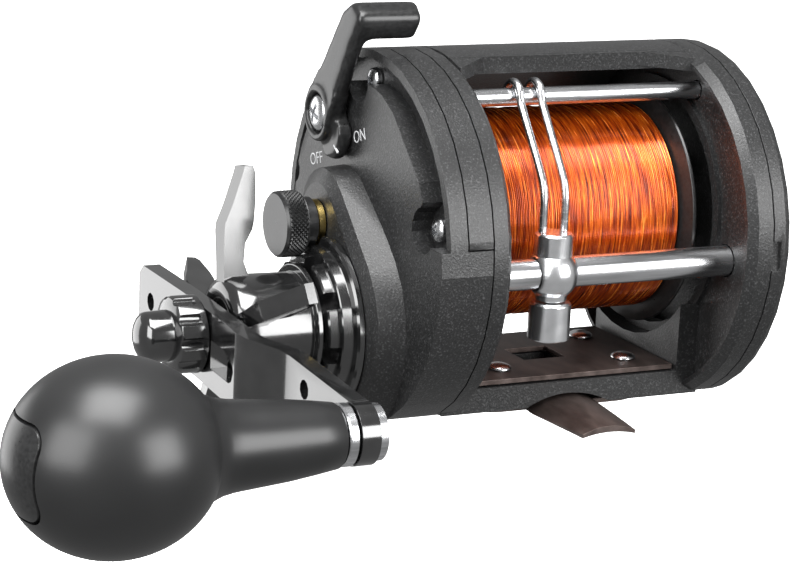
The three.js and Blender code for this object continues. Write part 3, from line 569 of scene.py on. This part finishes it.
makeLineGuide()
makeWire(-1, "guide_wire_left")
makeWire(1, "guide_wire_right")
makeRods()
print("level wind made")


# the knurl runs from "from" to "to"; its grooves are at "low" and its points at "outer"
castCap = {
    "face": -54.9, "outer": 6.5, "low": 6.05, "around": 44, "along": 9, "from": -54.2, "to": -50.3,
    "inside": 6, "sameRow": 0.02,
}


def makeCastCap():
    stations = [(-50.6, 0), (-50.6, 2.8), (-47.9, 2.8), (-47.9, 5), (-50, 5), (-50.2, 6.1)]
    for i in range(castCap["along"] + 1):
        share = i / castCap["along"]
        stations.append((castCap["to"] + (castCap["from"] - castCap["to"]) * share, castCap["low"]))
    stations += [(-54.4, 6.35), (castCap["face"], 5.9), (castCap["face"], 0)]
    bm = turned(stations, axes["spool"], castCap["around"] * 2)
    y, z = axes["spool"]
    step = (castCap["to"] - castCap["from"]) / castCap["along"]
    for vert in bm.verts:
        row = round((castCap["to"] - vert.co.x / mm) / step)
        onRow = abs(vert.co.x / mm - (castCap["to"] - row * step)) < castCap["sameRow"]
        radius = math.hypot(vert.co.y - y * mm, vert.co.z - z * mm)
        if not onRow or not 0 < row < castCap["along"] or radius < castCap["inside"] * mm:
            continue
        turn = math.atan2(vert.co.z - z * mm, vert.co.y - y * mm)
        column = round(turn / math.tau * castCap["around"] * 2)
        if (row + column) % 2 == 0:
            grow = castCap["outer"] * mm / radius
            vert.co.y = y * mm + (vert.co.y - y * mm) * grow
            vert.co.z = z * mm + (vert.co.z - z * mm) * grow
    # the short diagonal of each quad is a groove of the knurl
    bmesh.ops.triangulate(bm, faces=bm.faces, quad_method="SHORT_EDGE")
    toPiece(
        "cast_control_cap_finished", meshFrom(bm, "cast_cap"), "cast_cap", "satin_black", sharp=20,
        replaced=("cast_control_cap",),
    )


makeCastCap()


# a domed head with a cross: the head's rim is upright for "rim", then the dome rises by "dome"
screw = {
    "shank": 1.3, "head": 1.7, "rim": 0.6, "dome": 1.1, "coverHead": 2.3, "leverHead": 3.5,
    "slotDepth": 1.6, "slotLength": 1.1, "slotWidth": 0.24, "slotTurn": 0.4,
}


def slotCutter(x, y, z, size, turn):
    bm = bmesh.new()
    bmesh.ops.create_cube(bm, size=1)
    shape = (screw["slotDepth"] * mm, size * mm, screw["slotWidth"] * size * mm)
    bmesh.ops.scale(bm, vec=shape, verts=bm.verts)
    matrix = Matrix.Rotation(turn + screw["slotTurn"], 3, "X")
    bmesh.ops.rotate(bm, verts=bm.verts, cent=(0, 0, 0), matrix=matrix)
    bmesh.ops.translate(bm, vec=(x * mm, y * mm, z * mm), verts=bm.verts)
    return meshFrom(bm, "slot")


def makeScrew(node, headRadius, towards):
    middle = middleOf(node) / mm
    low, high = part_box(node)
    outer = (low.x if towards > 0 else high.x) / mm
    end = (high.x if towards > 0 else low.x) / mm
    under = outer + towards * screw["head"]
    stations = [(end, 0), (end, screw["shank"]), (under, screw["shank"]), (under, headRadius)]
    for i in range(7):
        angle = math.radians(15 * i)
        radius = headRadius * math.cos(angle) if i < 6 else 0
        stations.append((under - towards * (screw["rim"] + screw["dome"] * math.sin(angle)), radius))
    piece = toPiece(
        node + "_finished", meshFrom(turned(stations, (middle.y, middle.z), 40), node),
        bodyOf[node], "stainless", sharp=40, replaced=(node,),
    )
    for turn in (0, math.pi / 2):
        length = headRadius * screw["slotLength"]
        slot = slotCutter(outer - towards * 0.1, middle.y, middle.z, length, turn)
        booleanStep(piece, slot, "DIFFERENCE")


for node in bodyOf:
    if node.startswith("cover_screw"):
        makeScrew(node, screw["coverHead"], 1)
    elif node.startswith("far_cover_screw"):
        makeScrew(node, screw["coverHead"], -1)
makeScrew("lever_screw", screw["leverHead"], 1)


rivet = {"foot": 0.1, "under": 7.8, "shank": 1.5, "head": 2.5, "dome": 1.0}


def makeRivet(node):
    middle = middleOf(node) / mm
    foot, under, shank, head = (rivet[k] for k in ("foot", "under", "shank", "head"))
    stations = [(foot, 0), (foot, shank), (under, shank), (under, head)]
    for i in range(1, 7):
        angle = math.radians(15 * i)
        radius = head * math.cos(angle) if i < 6 else 0
        stations.append((under + rivet["dome"] * math.sin(angle), radius))
    toPiece(
        node + "_finished", meshFrom(uprightTurned(stations, middle.x, middle.y, 36), node),
        "root", "stainless", sharp=50, replaced=(node,),
    )


for number in range(1, 5):
    makeRivet(f"foot_rivet_{number}")
print("fasteners made")


# plain turned parts: the axis, then the stations
rings = {
    "knob_collar": (
        "knob",
        [(-70.2, 2.8), (-70.2, 5.2), (-69.9, 5.5), (-68.6, 5.5), (-68.3, 5.2), (-68.3, 2.8), (-70.2, 2.8)],
    ),
    "cast_control_seat": (
        "spool",
        [(-47.6, 2.8), (-47.6, 4.3), (-47.4, 4.5), (-46.2, 4.5), (-46.2, 2.8), (-47.6, 2.8)],
    ),
    "knob_spindle": (
        "knob",
        [(-62.5, 0), (-62.5, 4.4), (-62.8, 5), (-64.2, 5), (-64.2, 2.4), (-84, 2.4), (-84, 0)],
    ),
}
for node, (axis, stations) in rings.items():
    bm = turned(stations, axes[axis], 64)
    toPiece(node + "_finished", meshFrom(bm, node), bodyOf[node], slotOf[node], replaced=(node,))


# evenly spaced cutters round the crank, merged into one mesh; they don't touch each other
def aroundCrank(count, first, makeOne):
    y, z = axes["crank"]
    bm = bmesh.new()
    for i in range(count):
        verts = makeOne(bm)
        turn = Matrix.Rotation(first + math.tau * i / count, 3, "X")
        bmesh.ops.rotate(bm, verts=verts, cent=(0, y * mm, z * mm), matrix=turn)
    return meshFrom(bm, "cutters")


nut = {
    "flutes": 10, "fluteRadius": 1.5, "fluteLength": 5.4, "fluteMiddle": -77.3, "fluteReach": 8.2,
    "domeStart": -83, "domeHeight": 2.5, "domeRadius": 4.75,
}


def flute(bm):
    y, z = axes["crank"]
    radius = nut["fluteRadius"] * mm
    verts = bmesh.ops.create_cone(
        bm, cap_ends=True, segments=24, radius1=radius, radius2=radius, depth=nut["fluteLength"] * mm,
    )["verts"]
    bmesh.ops.rotate(bm, verts=verts, cent=(0, 0, 0), matrix=Matrix.Rotation(math.pi / 2, 3, "Y"))
    place = inMetres(nut["fluteMiddle"], y + nut["fluteReach"], z)
    bmesh.ops.translate(bm, verts=verts, vec=place)
    return verts


def makeHandleNut():
    stations = [(-73.3, 3.7), (-73.3, 7.1), (-73.6, 7.4), (-78.1, 7.4), (-78.6, 7.1), (-79, 6.2)]
    start, height, radius = (nut[k] for k in ("domeStart", "domeHeight", "domeRadius"))
    stations += [(-79.1, 4.9), (start, radius)]
    for degrees in range(75, -1, -15):
        angle = math.radians(degrees)
        stations.append((start - height * math.cos(angle), radius * math.sin(angle)))
    stations += [(-75.4, 0), (-75.4, 3.7), (-73.3, 3.7)]
    bm = turned(stations, axes["crank"], 112)
    piece = toPiece(
        "handle_nut_finished", meshFrom(bm, "handle_nut"), "crank", "gloss_black", sharp=40,
        replaced=("handle_nut",),
    )
    booleanStep(piece, aroundCrank(nut["flutes"], 0, flute), "DIFFERENCE")
    roundEdges(piece, 0.3, 3, 40)


# lugs round the collar's rim, left standing between "gaps" cuts
collar = {"gaps": 8, "first": 0.2, "gapSize": (10.2, 10.5, 3.4), "gapMiddle": -54.9, "gapReach": 14.75}


def lugGap(bm):
    y, z = axes["crank"]
    verts = bmesh.ops.create_cube(bm, size=1)["verts"]
    bmesh.ops.scale(bm, vec=inMetres(*collar["gapSize"]), verts=verts)
    place = inMetres(collar["gapMiddle"], y + collar["gapReach"], z)
    bmesh.ops.translate(bm, verts=verts, vec=place)
    return verts


def makeShaftCollar():
    stations = [
        (-46.2, 5.6), (-46.2, 16.9), (-47.1, 16.9), (-47.5, 16.5), (-47.7, 15.2), (-49.6, 15), (-49.8, 14.8),
        (-49.8, 13.7), (-51.6, 13.5), (-51.9, 13.2), (-51.9, 5.6), (-46.2, 5.6),
    ]
    bm = turned(stations, axes["crank"], 128)
    piece = toPiece(
        "shaft_collar_finished", meshFrom(bm, "shaft_collar"), "root", "gloss_black", sharp=30,
        replaced=("shaft_collar",),
    )
    booleanStep(piece, aroundCrank(collar["gaps"], collar["first"], lugGap), "DIFFERENCE")
    # room for the cast control cap and its seat ring
    booleanStep(piece, rodMesh(5.6, -49.4, -40, axes["spool"], 64), "DIFFERENCE")
    booleanStep(piece, rodMesh(7, -60, -49.3, axes["spool"], 64), "DIFFERENCE")
    roundEdges(piece, 0.15, 2, 40)


star = {
    "arms": 5, "start": 82, "twist": 6, "middle": -65, "stem": 1.6, "paddle": 1.9, "stemEnd": 18, "root": 9.5,
    # (distance from the crank, outer side, inner side) along X
    "edges": [
        (8, -68.3, -62.2), (13, -68.2, -64.0), (16.5, -68.2, -63.6), (19, -68.1, -62.2), (20.5, -67.9, -61.8),
        (24, -66.2, -61.4), (29.6, -63.95, -61.2), (31, -63.5, -61.7),
    ],
}


# an arm is built standing on the crank axis, then turned to its place
def starArm(bm):
    y, z = axes["crank"]
    middle = star["middle"]
    edges = star["edges"]
    corners = [(x, reach) for reach, x, _ in edges] + [(x, reach) for reach, _, x in reversed(edges)]
    verts = [bm.verts.new((x * mm, y * mm, (z + reach) * mm)) for x, reach in corners]
    face = bm.faces.new(verts)
    made = bmesh.ops.extrude_face_region(bm, geom=[face])["geom"]
    top = [v for v in made if isinstance(v, bmesh.types.BMVert)]
    bmesh.ops.translate(bm, verts=top, vec=(0, star["paddle"] * mm, 0))
    bmesh.ops.translate(bm, verts=verts, vec=(0, -star["paddle"] * mm, 0))
    for vert in verts + top:
        reach = vert.co.z / mm - z
        if reach < star["stemEnd"]:
            vert.co.y = y * mm + (vert.co.y - y * mm) * star["stem"] / star["paddle"]
    twist = Matrix.Rotation(math.radians(star["twist"]), 3, "Z")
    bmesh.ops.rotate(bm, verts=verts + top, cent=(middle * mm, y * mm, z * mm), matrix=twist)
    return verts + top


def makeStar():
    stations = [
        (-52.3, 7.6), (-52.3, 11.8), (-52.5, 12), (-53.2, 12), (-53.4, 11.8), (-53.4, 10.4), (-64, 10.6),
        (-66.4, 10.5), (-67.6, 10.1), (-68.4, 9.3), (-68.8, 8.2), (-68.8, 6.8), (-68.5, 6.3), (-67.6, 6.1),
        (-67.6, 3.8), (-55, 3.8), (-55, 7.6), (-52.3, 7.6),
    ]
    bm = turned(stations, axes["crank"], 112)
    hub = toPiece(
        "star_hub", meshFrom(bm, "star_hub"), "star", "gloss_black", sharp=40, replaced=("star_drag",),
    )
    roundEdges(hub, 0.15, 2, 45)
    first = math.radians(star["start"] - 90)
    arms = toPiece(
        "star_arms", aroundCrank(star["arms"], first, starArm), "star", "gloss_black", sharp=40,
        replaced=("star_drag",),
    )
    booleanStep(arms, rodMesh(star["root"], -70, -50, axes["crank"], 64), "DIFFERENCE")
    roundEdges(arms, 0.55, 4, 30)


lever = {"voxel": 0.36, "hubReach": 8.5, "hubPasses": 4, "barPasses": 34}


# a soft-cornered moulding: the lever's CAD shape, remeshed finely and relaxed, most of all past its hub
def makeLever():
    bm = bmesh.new()
    bm.from_mesh(frame["nodes"]["freespool_lever"].data)
    piece = toPiece(
        "lever_moulding", meshFrom(bm, "lever_moulding"), "lever", "satin_black", sharp=60,
        replaced=("freespool_lever",),
    )
    remesh = piece.modifiers.new("fine", "REMESH")
    remesh.mode = "VOXEL"
    remesh.voxel_size = lever["voxel"] * mm
    bpy.context.view_layer.update()
    graph = bpy.context.evaluated_depsgraph_get()
    mesh = bpy.data.meshes.new_from_object(piece.evaluated_get(graph))
    piece.modifiers.clear()
    bm = bmesh.new()
    bm.from_mesh(mesh)
    y, z = axes["lever"]
    bar = [v for v in bm.verts if math.hypot(v.co.y - y * mm, v.co.z - z * mm) > lever["hubReach"] * mm]
    for verts, passes in ((bm.verts, lever["hubPasses"]), (bar, lever["barPasses"])):
        for _ in range(passes):
            bmesh.ops.smooth_vert(
                bm, verts=verts, factor=0.5, use_axis_x=True, use_axis_y=True, use_axis_z=True,
            )
    bm.to_mesh(mesh)
    bm.free()
    piece.data = mesh
    mesh.polygons.foreach_set("use_smooth", [True] * len(mesh.polygons))


makeHandleNut()
makeShaftCollar()
makeStar()
makeLever()
print("crank furniture made")


# the words stand on the gear cover at (y, z), tilted by so many degrees
marks = {
    "ON": (0.7, 53.3, 20), "OFF": (19.9, 45.2, 16), "size": 3.4, "face": -39.82, "thickness": 0.02,
    "thinner": -0.04,
}
indexLine = {"size": (0.3, 0.35, 2.2), "tilt": -60, "place": (-42.82, 4.6, 50.2)}


def makeMark(words, y, z, tilt):
    text = bpy.data.curves.new(words, "FONT")
    text.body = words
    text.size = marks["size"] * mm
    text.align_x = "CENTER"
    text.align_y = "CENTER"
    text.extrude = marks["thickness"] * mm
    text.offset = marks["thinner"] * mm
    drawn = bpy.data.objects.new(words, text)
    bpy.context.scene.collection.objects.link(drawn)
    bpy.context.view_layer.update()
    graph = bpy.context.evaluated_depsgraph_get()
    mesh = bpy.data.meshes.new_from_object(drawn.evaluated_get(graph))
    bpy.data.objects.remove(drawn)
    face = marks["face"]
    place = Matrix(((0, 0, -1, face * mm), (-1, 0, 0, y * mm), (0, 1, 0, z * mm), (0, 0, 0, 1)))
    mesh.transform(place @ Matrix.Rotation(math.radians(tilt), 4, "Z"))
    toPiece("mark_" + words.lower(), mesh, "root", "graphite", material=materials["print"], sharp=20)


makeMark("ON", *marks["ON"])
makeMark("OFF", *marks["OFF"])


def makeIndexLine():
    bm = bmesh.new()
    bmesh.ops.create_cube(bm, size=1)
    bmesh.ops.scale(bm, vec=inMetres(*indexLine["size"]), verts=bm.verts)
    tilt = Matrix.Rotation(math.radians(indexLine["tilt"]), 3, "X")
    bmesh.ops.rotate(bm, verts=bm.verts, cent=(0, 0, 0), matrix=tilt)
    bmesh.ops.translate(bm, vec=inMetres(*indexLine["place"]), verts=bm.verts)
    toPiece("lever_index", meshFrom(bm, "lever_index"), "lever", "satin_black", material=materials["print"])


makeIndexLine()


for node, piece in frame["nodes"].items():
    for place in piece.material_slots:
        place.material = materials[slotOf[node]]
print("carried nodes finished")


# angles in degrees; place and lens in millimetres
camera = {
    "azimuth": -26.68, "elevation": 13.79, "roll": 2.73, "place": (-254.2, -444.52, 146.36), "lens": 119.6,
}


def makeCamera():
    azimuth, elevation, roll = (math.radians(camera[k]) for k in ("azimuth", "elevation", "roll"))
    level = math.cos(elevation)
    back = Vector((math.sin(azimuth) * level, -math.cos(azimuth) * level, math.sin(elevation)))
    side = Vector((math.cos(azimuth), math.sin(azimuth), 0))
    up = back.cross(side)
    right = math.cos(roll) * side + math.sin(roll) * up
    top = -math.sin(roll) * side + math.cos(roll) * up
    data = bpy.data.cameras.new("camera")
    data.lens = camera["lens"]
    data.sensor_width = 36
    data.clip_start = 0.01
    holder = bpy.data.objects.new("camera", data)
    turn = Matrix((right, top, back)).transposed().to_4x4()
    holder.matrix_world = Matrix.Translation(Vector(camera["place"]) * mm) @ turn
    bpy.context.scene.collection.objects.link(holder)
    bpy.context.scene.camera = holder


# lamps: metres and watts; the light table lies "drop" below the lowest point
studio = {"target": (-0.03, 0, 0.035), "worldStrength": 0.33, "tableSize": 6, "drop": 0.012}
lamps = {
    "overhead": {"at": (-0.15, -0.2, 0.8), "size": 0.6, "power": 13},
    "leftFront": {"at": (-0.8, -0.4, 0.4), "size": 0.7, "power": 10},
    "rightFront": {"at": (0.45, -0.8, 0.3), "size": 0.6, "power": 10},
    "lowBehind": {"at": (-0.5, 0.8, 0.0), "size": 0.6, "power": 2.6},
}


def makeLights():
    target = Vector(studio["target"])
    for name, lamp in lamps.items():
        data = bpy.data.lights.new(name, "AREA")
        data.shape = "SQUARE"
        data.size = lamp["size"]
        data.energy = lamp["power"]
        holder = bpy.data.objects.new(name, data)
        holder.location = lamp["at"]
        holder.rotation_euler = (target - holder.location).to_track_quat("-Z", "Y").to_euler()
        holder.visible_camera = False
        bpy.context.scene.collection.objects.link(holder)
    world = bpy.data.worlds.new("studio")
    world.use_nodes = True
    background = world.node_tree.nodes["Background"]
    background.inputs["Color"].default_value = (1, 1, 1, 1)
    background.inputs["Strength"].default_value = studio["worldStrength"]
    bpy.context.scene.world = world


def makeFloor():
    bm = bmesh.new()
    bmesh.ops.create_grid(bm, x_segments=1, y_segments=1, size=studio["tableSize"])
    bmesh.ops.translate(bm, vec=(0, 0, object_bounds()[0][2] - studio["drop"]), verts=bm.verts)
    mesh = bpy.data.meshes.new("floor")
    bm.to_mesh(mesh)
    bm.free()
    floor = bpy.data.objects.new("floor", mesh)
    bpy.context.scene.collection.objects.link(floor)
    paper = newMaterial(
        "lightTable", Base_Color=(0.9, 0.9, 0.9, 1), Roughness=0.9,
        Emission_Color=(1, 1, 1, 1), Emission_Strength=0.95,
    )[0]
    mesh.materials.append(paper)
    floor.visible_diffuse = False
    floor.visible_glossy = False


makeCamera()
makeLights()
makeFloor()
bpy.context.scene.view_settings.view_transform = "Standard"
print("stage ready")
